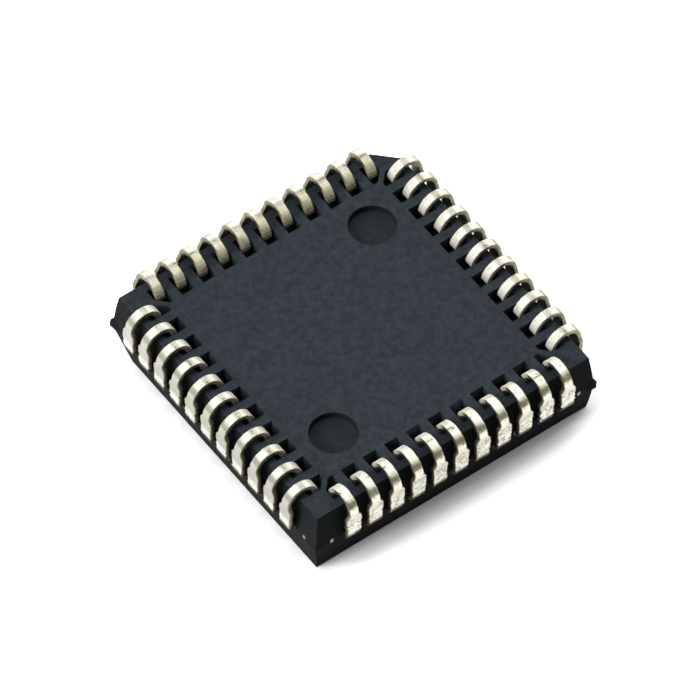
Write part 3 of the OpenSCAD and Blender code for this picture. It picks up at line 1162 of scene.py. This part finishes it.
@dataclass
class FormedLead:
    """One J lead of stamped and plated sheet, swept along its bent path ring by ring.

    The wear of each side, clockwise from +Y, is its share of rub marks, dull plate and yellowed tips.
    """

    layout: Layout
    number: int
    sheet: float = 0.25
    bend_radius: float = 0.43
    bend_steps: int = 8
    curl_radius: float = 0.92
    tip_run: float = 0.06
    shoulder_width: float = 0.78
    stub_out: float = 0.03
    stub_height: float = 0.4
    foot_cut: float = 0.1
    foot_height: float = 0.45
    curl_width: float = 0.5
    neck_rise: float = 0.04
    neck_height: float = 0.25
    tip_bevel: float = 0.1
    bevel_slope: float = 0.9
    root_depth: float = 0.3
    edge_radius: float = 0.04
    edge_inset: float = 0.3
    flat_points: int = 7
    ring_step: float = 0.06
    dent_depth: float = 0.012
    dent_ground: float = 0.35
    dent_scale: Point = (2.2, 1.6, 7.3)
    ripple: float = 0.5
    ripple_scale: float = 2.3
    ragged: float = 0.085
    ragged_to: float = 1.9
    ragged_least: float = 0.2
    ragged_fade: float = 3.0
    ragged_scale: Point = (8.5, 4.0, 5.3)
    serial_step: float = 3.7
    sharp_angle: float = 60.0
    side_wear: tuple[Point, ...] = ((0.9, 0.1, 1.0), (0.9, 0.3, 0.0), (0.0, 0.0, 0.1), (0.9, 1.0, 0.2))

    @property
    def curl_z(self) -> float:
        """Height of the curl's centre."""
        return self.layout.seat - self.curl_radius

    def path(self) -> list[tuple[float, float, float, float]]:
        """Walks the middle line of the sheet.

        Returns:
            Distance along from the wall, outward place, height and heading of each ring.
        """
        size = self.layout
        middle = self.sheet / 2
        bend_at = size.lead_face - self.bend_radius
        curl_at = size.lead_face - self.curl_radius
        bend = self.bend_radius - middle
        curl = self.curl_radius - middle
        bend_z = size.frame_low + self.bend_radius
        start = size.wall - self.root_depth
        points = [(start, size.frame_low + middle, 0.0)]
        turns = [step / self.bend_steps * math.pi / 2 for step in range(self.bend_steps + 1)]
        points += [(bend_at + bend * math.sin(t), bend_z - bend * math.cos(t), t) for t in turns]
        upright = self.curl_z - bend_z
        count = round(upright / self.ring_step)
        side = size.lead_face - middle
        points += [(side, bend_z + upright * step / count, math.pi / 2) for step in range(1, count)]
        count = round(math.pi * curl / self.ring_step)
        turns = [math.pi * step / count for step in range(count + 1)]
        points += [
            (curl_at + curl * math.cos(t), self.curl_z + curl * math.sin(t), math.pi / 2 + t) for t in turns
        ]
        points.append((curl_at - curl, self.curl_z - self.tip_run, 1.5 * math.pi))
        walked = start - size.wall
        path = []
        for index, (out, height, heading) in enumerate(points):
            if index:
                walked += math.dist((out, height), points[index - 1][:2])
            path.append((walked, out, height, heading))
        return path

    def half_widths(self, height: float, heading: float) -> tuple[float, float]:
        """Finds how far the sheet reaches to each side of its middle.

        Args:
            height: Height of the ring.
            heading: Direction of the path there.

        Returns:
            The reach to the side of the cut foot, and to the other one.
        """
        shoulder, curl = self.shoulder_width / 2, self.curl_width / 2
        if heading > math.pi:
            return curl, curl
        low = self.layout.frame_low
        neck = self.curl_z + self.neck_rise
        stub_top = neck - self.neck_height
        stub_foot = stub_top - self.stub_height
        stub = shoulder + self.stub_out
        outline = [
            (low, shoulder), (stub_foot - self.stub_out, shoulder), (stub_foot, stub), (stub_top, stub),
            (neck, curl), (self.layout.seat, curl),
        ]
        plain = follow(outline, height)
        cut = self.foot_cut * max(0.0, 1 - (height - low) / self.foot_height)
        return plain - cut, plain

    def section(self, narrow: float, wide: float, taken: float) -> list[tuple[float, float, Part]]:
        """Returns the outline of the sheet's cross-section.

        Args:
            narrow: Reach to the side of the cut foot.
            wide: Reach to the other side.
            taken: Thickness that the tip's bevel takes off the outer face.

        Returns:
            Place across, place through the sheet and kind of face for each point.
        """
        radius, inset = self.edge_radius, self.edge_inset * self.edge_radius
        outer, inner = self.sheet / 2 - taken, -self.sheet / 2
        last = self.flat_points - 1
        run = narrow + wide - 2 * radius
        edge = [(inset, outer - inset), (0.0, outer - radius), (0.0, inner + radius), (inset, inner + inset)]
        flat = [-narrow + radius + run * step / last for step in range(self.flat_points)]
        points = [(across, outer, Part.FLAT) for across in flat]
        points += [(wide - back, through, Part.SHEARED) for back, through in edge]
        points += [(across, inner, Part.FLAT) for across in reversed(flat)]
        points += [(back - narrow, through, Part.SHEARED) for back, through in reversed(edge)]
        return points

    def noise_place(self, first: float, second: float, scale: Point) -> Vector:
        """Returns a place in the noise that no other lead reads."""
        return Vector([at * times for at, times in zip((first, second, self.number), scale)])

    def dent(self, walked: float, across: float) -> float:
        """Finds how deep the handling and forming marks lie at a place of the outer face.

        Args:
            walked: Distance along the strip.
            across: Place across it.

        Returns:
            The depth.
        """
        place = self.noise_place(across, walked, self.dent_scale)
        wave = noise.noise(place) + self.ripple * noise.noise(place * self.ripple_scale)
        return self.dent_depth * max(0.0, self.dent_ground + wave)

    def tear(self, walked: float, way: int) -> float:
        """Finds how far a sheared edge of the shoulder wanders.

        Args:
            walked: Distance along the strip.
            way: Side of the edge, -1 or 1.

        Returns:
            The change of its reach.
        """
        if walked <= 0:
            return 0.0
        wander = noise.noise(self.noise_place(walked, way, self.ragged_scale))
        share = (self.ragged_to - walked) / self.ragged_to * self.ragged_fade
        return self.ragged * wander * min(1.0, max(self.ragged_least, share))

    def build(self, material: Material) -> Object:
        """Makes the lead and puts it in the place of its CAD node.

        Args:
            material: The tin finish.

        Returns:
            The piece.
        """
        solid = bmesh.new()
        strip = solid.loops.layers.uv.new("strip")
        kind = solid.verts.layers.float.new("sheared")
        serial = solid.verts.layers.float.new("serial")
        wear = solid.verts.layers.float_vector.new("wear")
        side = self.layout.lead_place(self.number)[0]
        path = self.path()
        end = path[-1][0]
        rings = []
        marks = {}
        for walked, out, height, heading in path:
            narrow, wide = self.half_widths(height, heading)
            narrow += self.tear(walked, -1)
            wide += self.tear(walked, 1)
            taken = max(0.0, self.tip_bevel - (end - walked)) * self.bevel_slope
            ring = []
            for across, through, part in self.section(narrow, wide, taken):
                if part is Part.FLAT and through > 0:
                    through -= self.dent(walked, across)
                place = (across, out + math.sin(heading) * through, height - math.cos(heading) * through)
                vertex = solid.verts.new(place)
                vertex[kind] = part.value
                vertex[serial] = self.number * self.serial_step
                vertex[wear] = self.side_wear[side]
                marks[vertex] = (across, walked)
                ring.append(vertex)
            rings.append(ring)
        bridge(solid, rings)
        for face in solid.faces:
            for loop in face.loops:
                loop[strip].uv = marks[loop.vert]
        solid.transform(self.layout.lead_turn(self.number))
        piece = new_piece(f"formed_lead_{self.number:02d}", solid, material, self.sharp_angle)
        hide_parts(f"lead_{self.number:02d}")
        return piece


def follow(outline: Outline, at: float) -> float:
    """Reads a line through points at one place, level beyond its ends.

    Args:
        outline: Place and value of each point.
        at: The place to read.

    Returns:
        The value.
    """
    for (start, first), (end, second) in zip(outline, outline[1:]):
        if at < end:
            share = max(0.0, (at - start) / (end - start))
            return first + share * (second - first)
    return outline[-1][1]


@dataclass
class InnerParts:
    """The CAD nodes inside the moulding, which keep their own shapes."""

    effects: Effects
    alloy: SheetMetalFinish = SheetMetalFinish(
        "bare frame alloy", colour=(0.44, 0.31, 0.20, 1.0), dull=(0.22, 0.15, 0.10, 1.0),
        smoothest=0.36, roughest=0.52,
    )
    gold: SheetMetalFinish = SheetMetalFinish(
        "bond gold", colour=(0.95, 0.72, 0.30, 1.0), dull=(0.80, 0.58, 0.22, 1.0),
        smoothest=0.19, roughest=0.35,
    )

    def dress(self) -> dict[str, Material]:
        """Gives each inner CAD node its finish.

        Returns:
            The finish of each node.
        """
        finishes = {
            "die_paddle": self.alloy,
            "die_attach": AttachFinish(),
            "silicon_die": SiliconFinish(),
            "bond_wires": self.gold,
        }
        chosen = {name: finish.build(self.effects) for name, finish in finishes.items()}
        for name, material in chosen.items():
            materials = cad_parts[name].data.materials
            materials.clear()
            materials.append(material)
        return chosen


@dataclass(frozen=True)
class Softbox:
    """An oblong soft lamp that faces the carrier and isn't seen in the metal."""

    name: str
    toward: Point
    width: float
    height: float
    power: float
    distance: float = 700.0

    def build(self) -> Object:
        """Adds the lamp.

        Returns:
            The lamp.
        """
        data = bpy.data.lights.new(self.name, "AREA")
        data.shape = "RECTANGLE"
        data.size, data.size_y = self.width * MM, self.height * MM
        data.energy = self.power
        lamp = add_object(self.name, data)
        way = Vector(self.toward).normalized()
        turn = way.to_track_quat("Z", "Y").to_matrix().to_4x4()
        lamp.matrix_world = Matrix.Translation(way * self.distance * MM) @ turn
        lamp.visible_glossy = False
        return lamp


@dataclass
class Studio:
    """Floor, soft lamps, sky and the camera of the photograph."""

    azimuth: float = -37.526
    elevation: float = 53.295
    roll: float = 1.297
    distance: float = 351.77
    focal_pixels: float = 7316.25
    frame_pixels: float = 700.0
    centre_right: float = 2.656
    centre_down: float = 1.361
    aim_height: float = 2.0
    sensor: float = 36.0
    clip_start: float = 10.0
    floor_size: float = 4000.0
    softboxes: tuple[Softbox, ...] = (
        Softbox("overhead softbox", (0.0, 0.16, 0.98), width=560.0, height=180.0, power=1.52),
        Softbox("left softbox", (-0.88, 0.20, 0.40), width=400.0, height=400.0, power=4.1),
        Softbox("right softbox", (0.88, 0.30, 0.38), width=400.0, height=400.0, power=2.1),
    )
    dome_from: float = 0.05
    dome_to: float = 0.60
    dome_tone: Colour = grey(1.22)
    low_tone: Colour = grey(0.50)
    glow_side: Point = (0.60, 0.76, 0.25)
    glow_from: float = 0.58
    glow_to: float = 0.86
    dark_tone: Colour = (0.06, 0.058, 0.05, 1.0)
    dark_side: Point = (-0.206, -0.969, 0.139)
    dark_from: float = 0.52
    dark_to: float = 0.76
    matte_share: float = 0.336

    def axes(self) -> tuple[Vector, Vector, Vector]:
        """Turns the camera's angles into directions.

        Returns:
            Its right, up and back directions.
        """
        azimuth, elevation = math.radians(self.azimuth), math.radians(self.elevation)
        level = math.cos(elevation)
        back = Vector((math.sin(azimuth) * level, -math.cos(azimuth) * level, math.sin(elevation)))
        right = Vector((math.cos(azimuth), math.sin(azimuth), 0))
        up = back.cross(right)
        roll = math.radians(self.roll)
        tilted = math.cos(roll) * right + math.sin(roll) * up
        return tilted, back.cross(tilted), back

    def camera(self) -> Object:
        """Adds the camera, moved sideways so that the carrier stands where it does in the frame.

        Returns:
            The camera.
        """
        right, up, back = self.axes()
        data = bpy.data.cameras.new("camera")
        data.sensor_width = self.sensor
        data.lens = self.focal_pixels / self.frame_pixels * self.sensor
        data.clip_start = self.clip_start * MM
        data.dof.use_dof = False
        per_pixel = self.distance / self.focal_pixels
        aim = Vector((0, 0, self.aim_height))
        aim += (up * self.centre_down - right * self.centre_right) * per_pixel
        camera = add_object("camera", data)
        turn = Matrix((right, up, back)).transposed().to_4x4()
        camera.matrix_world = Matrix.Translation((aim + back * self.distance) * MM) @ turn
        bpy.context.scene.camera = camera
        return camera

    def floor(self, material: Material) -> Object:
        """Adds the floor that the carrier lies on.

        Args:
            material: Its finish.

        Returns:
            The floor.
        """
        solid = bmesh.new()
        bmesh.ops.create_grid(solid, x_segments=4, y_segments=4, size=self.floor_size * MM / 2)
        mesh = to_mesh("floor", solid)
        mesh.materials.append(material)
        floor = add_object("floor", mesh)
        return floor

    def facing(self, graph: Graph, ways: Socket, aim: Point) -> Socket:
        """Returns how far a direction of the sky points the given way, from -1 to 1."""
        inputs = {0: ways, 1: Vector(aim).normalized()}
        return graph.node("ShaderNodeVectorMath", inputs, operation="DOT_PRODUCT").outputs["Value"]

    def sky(self) -> bpy.types.World:
        """Builds the soft sky: white overhead, greyer low down, with one light and one dark side.

        Metal mirrors the whole of it, and matte surfaces take a share of its light, as the lamps
        give them the rest.

        Returns:
            The world.
        """
        world = bpy.data.worlds.new("studio")
        bpy.context.scene.world = world
        world.use_nodes = True
        graph = Graph(world.node_tree)
        ways = graph.node("ShaderNodeTexCoord").outputs["Generated"]
        dome = graph.span(graph.parts(ways)["Z"], self.dome_from, self.dome_to)
        glow = graph.span(self.facing(graph, ways, self.glow_side), self.glow_from, self.glow_to)
        dark = graph.span(self.facing(graph, ways, self.dark_side), self.dark_from, self.dark_to)
        layers = [(glow, 1.0, self.dome_tone), (dome, 1.0, self.dome_tone), (dark, 1.0, self.dark_tone)]
        seen = graph.node("ShaderNodeLightPath").outputs
        mirrored = graph.both("MAXIMUM", seen["Is Glossy Ray"], seen["Is Transmission Ray"])
        background = world.node_tree.nodes["Background"].inputs
        graph.feed(background["Color"], graph.layered(self.low_tone, layers))
        graph.feed(background["Strength"], graph.span(mirrored, 0.0, 1.0, self.matte_share, 1.0))
        return world

    def build(self, floor_finish: Material) -> None:
        """Sets up the whole stage and the view transform.

        Args:
            floor_finish: The finish of the floor.
        """
        self.floor(floor_finish)
        for softbox in self.softboxes:
            softbox.build()
        self.sky()
        self.camera()
        bpy.context.scene.view_settings.view_transform = "Standard"


def report(piece: Object) -> None:
    """Logs a finished piece with its size in faces."""
    log.info("%s: %d faces", piece.name, len(piece.data.polygons))


def main() -> None:
    """Builds the carrier's looks and the stage."""
    logging.basicConfig(level=logging.INFO, format="%(message)s")
    layout = Layout.from_frame()
    effects = Effects.build()
    report(MouldedBody(layout).build(EpoxyFinish(layout.belly).build(effects)))
    tin = TinFinish().build(effects)
    for number in range(1, layout.side_leads * SIDE_COUNT + 1):
        report(FormedLead(layout, number).build(tin))
    for name, material in InnerParts(effects).dress().items():
        log.info("%s: %s", name, material.name)
    Studio().build(FloorFinish().build())


if __name__ == "__main__":
    main()
